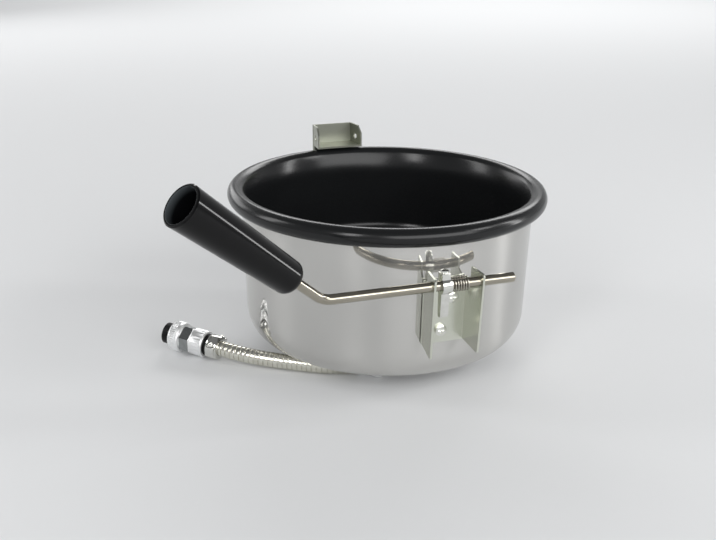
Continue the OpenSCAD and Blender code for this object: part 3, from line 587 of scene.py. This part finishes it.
def makePhenolic(name, g):
    tree = newMaterial(name)
    place = addNode(tree, "ShaderNodeTexCoord")
    off = addNode(tree, "ShaderNodeVectorMath", {"operation": "SUBTRACT"}, {1: [c * mm for c in g["corner"]]},
                  {0: place.outputs["Object"]})
    run = addNode(tree, "ShaderNodeVectorMath", {"operation": "DOT_PRODUCT"}, {1: g["along"]},
                  {0: off.outputs["Vector"]})
    onAxis = addNode(tree, "ShaderNodeVectorMath", {"operation": "SCALE"}, {0: g["along"]},
                     {"Scale": run.outputs["Value"]})
    away = addNode(tree, "ShaderNodeVectorMath", {"operation": "DISTANCE"},
                   links={0: off.outputs["Vector"], 1: onAxis.outputs["Vector"]})
    thin = addNode(tree, "ShaderNodeMath", {"operation": "LESS_THAN"}, {1: (g["hollow"] + g["margin"]) * mm},
                   {0: away.outputs["Value"]})
    far = addNode(tree, "ShaderNodeMath", {"operation": "GREATER_THAN"}, {1: g["plainTo"] * mm},
                  {0: run.outputs["Value"]})
    inside = addNode(tree, "ShaderNodeMath", {"operation": "MULTIPLY"},
                     links={0: thin.outputs["Value"], 1: far.outputs["Value"]})
    # painted light: the hollow's wall greys towards the mouth over the last few mm
    near = addNode(tree, "ShaderNodeMapRange",
                   values={"From Min": (g["mouth"] - g["fade"]) * mm, "From Max": g["mouth"] * mm},
                   links={"Value": run.outputs["Value"]})
    hollow = addNode(tree, "ShaderNodeMix", {"data_type": "RGBA"},
                     {6: toLinear(g["deep"]), 7: toLinear(g["inner"][0])}, {0: near.outputs["Result"]})
    tint = addNode(tree, "ShaderNodeMix", {"data_type": "RGBA"}, {6: toLinear(g["outer"][0])},
                   {0: inside.outputs["Value"], 7: hollow.outputs[2]})
    gloss = addNode(tree, "ShaderNodeMapRange", values={"To Min": g["outer"][1], "To Max": g["inner"][1]},
                    links={"Value": inside.outputs["Value"]})
    shader = addNode(tree, "ShaderNodeBsdfPrincipled", values={"Specular IOR Level": g["specular"]},
                     links={"Base Color": tint.outputs[2], "Roughness": gloss.outputs["Result"]})
    addNode(tree, "ShaderNodeOutputMaterial", links={"Surface": shader.outputs["BSDF"]})


even = (0.2, 0.8)  # contrast of a finish with hardly any pattern
# stainless sheet, spun and polished: a mirror with soft bright streaks standing up and down in it
makeSpunMirror("polishedStainless", mirrorSizes)
# baked black non-stick enamel: semi-gloss, with the faint ripple of a sprayed coat
makeFinish("blackEnamel", ("#141516", "#161718"), (0.2, 0.24), 40, bump=(0.01, 8), specular=0.33,
           contrast=even)
# stainless strip, satin: an even soft sheen, a little green in the shade
makeFinish("satinStrip", ("#D6D8CD", "#D1D3C8"), (0.22, 0.26), 12, metallic=1.0, contrast=even)
# the same strip, duller, and darker as painted shade on the rear bracket
makeFinish("shadedDullStrip", ("#A6A89C", "#9C9E93"), (0.36, 0.42), 12, metallic=1.0, contrast=even)
# drawn steel bar: warm grey, with lines along its length
makeFinish("drawnSteel", ("#A9A498", "#9D988B"), (0.14, 0.19), 2, stretch=(14, 1, 1), metallic=1.0)
# black phenolic: sharp highlights outside, dull in the hollow, with painted light greying it at the mouth
makePhenolic("blackPhenolic", gripSizes)
# bright zinc plate on small steel parts: pale, a little grainy
makeFinish("zincPlate", ("#ECECE7", "#DCDCD6"), (0.18, 0.26), 1.5, metallic=1.0, bump=(0.03, 0.5))
# satin chrome on turned brass: pale, with soft wide highlights
makeFinish("satinChrome", ("#FBFBFB", "#F6F7F7"), (0.4, 0.45), 4, metallic=1.0)
# the collar's milled flats: darker than the plating as a painted dark reflection, and sharp enough to show
# the dim room overhead
makeFinish("flatPaintedReflection", ("#A4A7A7", "#989B9B"), (0.12, 0.16), 3, metallic=1.0)
# bright chrome on a small casting: contrasty, with white glints and dark gaps
makeFinish("brightChrome", ("#E2E2DE", "#D6D6D1"), (0.08, 0.13), 3, metallic=1.0)
# stainless strip of the hose: bright, so that its crowns glint and its grooves stay dark
makeFinish("hoseStrip", ("#E6E5DC", "#DAD8CD"), (0.16, 0.22), 4, metallic=1.0)
# spring steel wire, bright drawn: fine glints on each coil
makeFinish("springWire", ("#B9B5AC", "#A8A49B"), (0.1, 0.14), 0.8, metallic=1.0)
# black nylon moulding: dull, with hardly a highlight
makeFinish("blackNylon", ("#060607", "#09090A"), (0.4, 0.5), 2, bump=(0.05, 0.5), specular=0.2)
# turned brass: yellow, slightly tarnished
makeFinish("turnedBrass", ("#C9A557", "#A98742"), (0.2, 0.34), 1.5, metallic=1.0)
# sand-cast aluminium: grey, grainy and dull
makeFinish("castAluminium", ("#A9AAAB", "#8D8E8F"), (0.45, 0.6), 3, metallic=1.0, bump=(0.3, 1.0))
# oxidised nickel sheath of the heating element: dark and patchy
makeFinish("elementSheath", ("#4A4744", "#322F2D"), (0.4, 0.55), 4, metallic=1.0, bump=(0.1, 0.6))
# mineral fibre felt: off-white, rough and without shine
makeFinish("fibreFelt", ("#DAD5C4", "#C7C1AE"), (0.9, 1.0), 2, bump=(0.6, 0.8))
# unglazed steatite: cream, matt
makeFinish("steatite", ("#DDD6C6", "#CDC5B2"), (0.6, 0.75), 2, bump=(0.1, 0.5))

nodeFinish = {
    "polishedStainless": ["outer_shell", "bottom_cover"],
    "satinStrip": ["front_bracket"],
    "brightChrome": ["latch_lever"],
    "shadedDullStrip": ["rear_bracket"],
    "drawnSteel": ["handle_rod"],
    "blackPhenolic": ["grip"],
    "zincPlate": ["front_bracket_screws", "rear_bracket_screws", "lever_screw", "grip_nut", "cover_nut",
                  "clamp_nut", "centre_stud", "clamp_plate", "elbow_locknut"],
    "satinChrome": ["hose_elbow"],
    "blackNylon": ["plug_insert", "cover_plug"],
    "turnedBrass": ["plug_pins"],
    "castAluminium": ["heater_ring"],
    "elementSheath": ["heater_element"],
    "fibreFelt": ["insulation_pad"],
    "steatite": ["thermostat", "thermal_cutout", "terminal_block"],
}
madeFinish = [  # a second finish goes to the faces marked for it
    (flaredPot, "blackEnamel"), (ribbedHose, "hoseStrip"), (returnSpring, "springWire"),
    (knurledNut, "satinChrome"), (flutedSleeve, "satinChrome", "blackNylon"),
    (flattedBarrel, "satinChrome", "flatPaintedReflection"), (cordClamp, "brightChrome"), (clampScrews, "zincPlate"),
]


def setFinish(piece, *names):
    if piece.data.materials:  # clearing also resets the marks, which only made pieces have
        piece.data.materials.clear()
    for name in names:
        piece.data.materials.append(finishes[name])


for finish, names in nodeFinish.items():
    for n in names:
        setFinish(nodes[n], finish)
for made in madeFinish:
    setFinish(*made)
print("finishes:", len(finishes))


# a wide pale floor, a room that is dimmer overhead, and soft lamps all round
studio = {
    "floorHalf": 3.4,
    "floorColour": "#DADBDC",
    "floorRoughness": 0.75,
    "roomColour": "#F4F5F6",
    "roomStrength": (0.55, 0.22),  # level, overhead
    "roomBand": (0.1, 0.8),  # upward share of a direction, where the dimming begins and ends
}
lamps = [  # name, place, look at, width, height, watts
    ("leftSide", (-1.3, 0.5, 0.75), (0, 0, 0.05), 0.35, 0.8, 4.4),
    ("leftFront", (-1.0, -0.95, 0.9), (0, 0, 0.05), 0.26, 0.6, 5.0),
    ("rightKey", (1.3, -0.36, 0.52), (0, -0.1, 0.5), 0.14, 1.0, 5.5),
    ("rightHigh", (0.95, -0.75, 0.9), (0, 0, 0.1), 0.3, 0.3, 2.4),
    ("frontFill", (0.6, -3.15, 1.5), (0, 0, 0.03), 3.9, 1.8, 81),
    ("backLeft", (-0.8, 2.0, 0.7), (0, 0, 0.1), 1.5, 0.7, 7),
    ("backFloor", (1.4, 2.4, 1.7), (1.2, 1.9, 0), 2.6, 1.2, 44),
]


def makeStudio(s):
    bm = bmesh.new()
    bmesh.ops.create_grid(bm, x_segments=1, y_segments=1, size=s["floorHalf"])
    mesh = bpy.data.meshes.new("studioFloor")
    bm.to_mesh(mesh)
    bm.free()
    floor = bpy.data.objects.new("studioFloor", mesh)
    scene.collection.objects.link(floor)
    # backdrop paper: pale and matt, takes the soft shadows
    tree = newMaterial("palePaper")
    matte = addNode(tree, "ShaderNodeBsdfPrincipled",
                    values={"Base Color": toLinear(s["floorColour"]), "Roughness": s["floorRoughness"]})
    addNode(tree, "ShaderNodeOutputMaterial", links={"Surface": matte.outputs["BSDF"]})
    mesh.materials.append(finishes["palePaper"])
    world = bpy.data.worlds.new("studioAir")
    scene.world = world
    world.use_nodes = True
    tree = world.node_tree
    tree.nodes.clear()
    way = addNode(tree, "ShaderNodeTexCoord")
    parts = addNode(tree, "ShaderNodeSeparateXYZ", links={"Vector": way.outputs["Generated"]})
    (start, end), (level, overhead) = s["roomBand"], s["roomStrength"]
    glow = addNode(tree, "ShaderNodeMapRange",
                   values={"From Min": start, "From Max": end, "To Min": level, "To Max": overhead},
                   links={"Value": parts.outputs["Z"]})
    air = addNode(tree, "ShaderNodeBackground", values={"Color": toLinear(s["roomColour"])},
                  links={"Strength": glow.outputs["Result"]})
    addNode(tree, "ShaderNodeOutputWorld", links={"Surface": air.outputs["Background"]})


def addLamp(name, place, lookAt, width, height, watts):
    data = bpy.data.lights.new(name, "AREA")
    data.shape = "RECTANGLE"
    data.size = width
    data.size_y = height
    data.energy = watts
    lamp = bpy.data.objects.new(name, data)
    scene.collection.objects.link(lamp)
    lamp.location = place
    lamp.rotation_mode = "QUATERNION"
    lamp.rotation_quaternion = (Vector(lookAt) - Vector(place)).to_track_quat("-Z", "Y")


makeStudio(studio)
for lamp in lamps:
    addLamp(*lamp)
print("studio made")
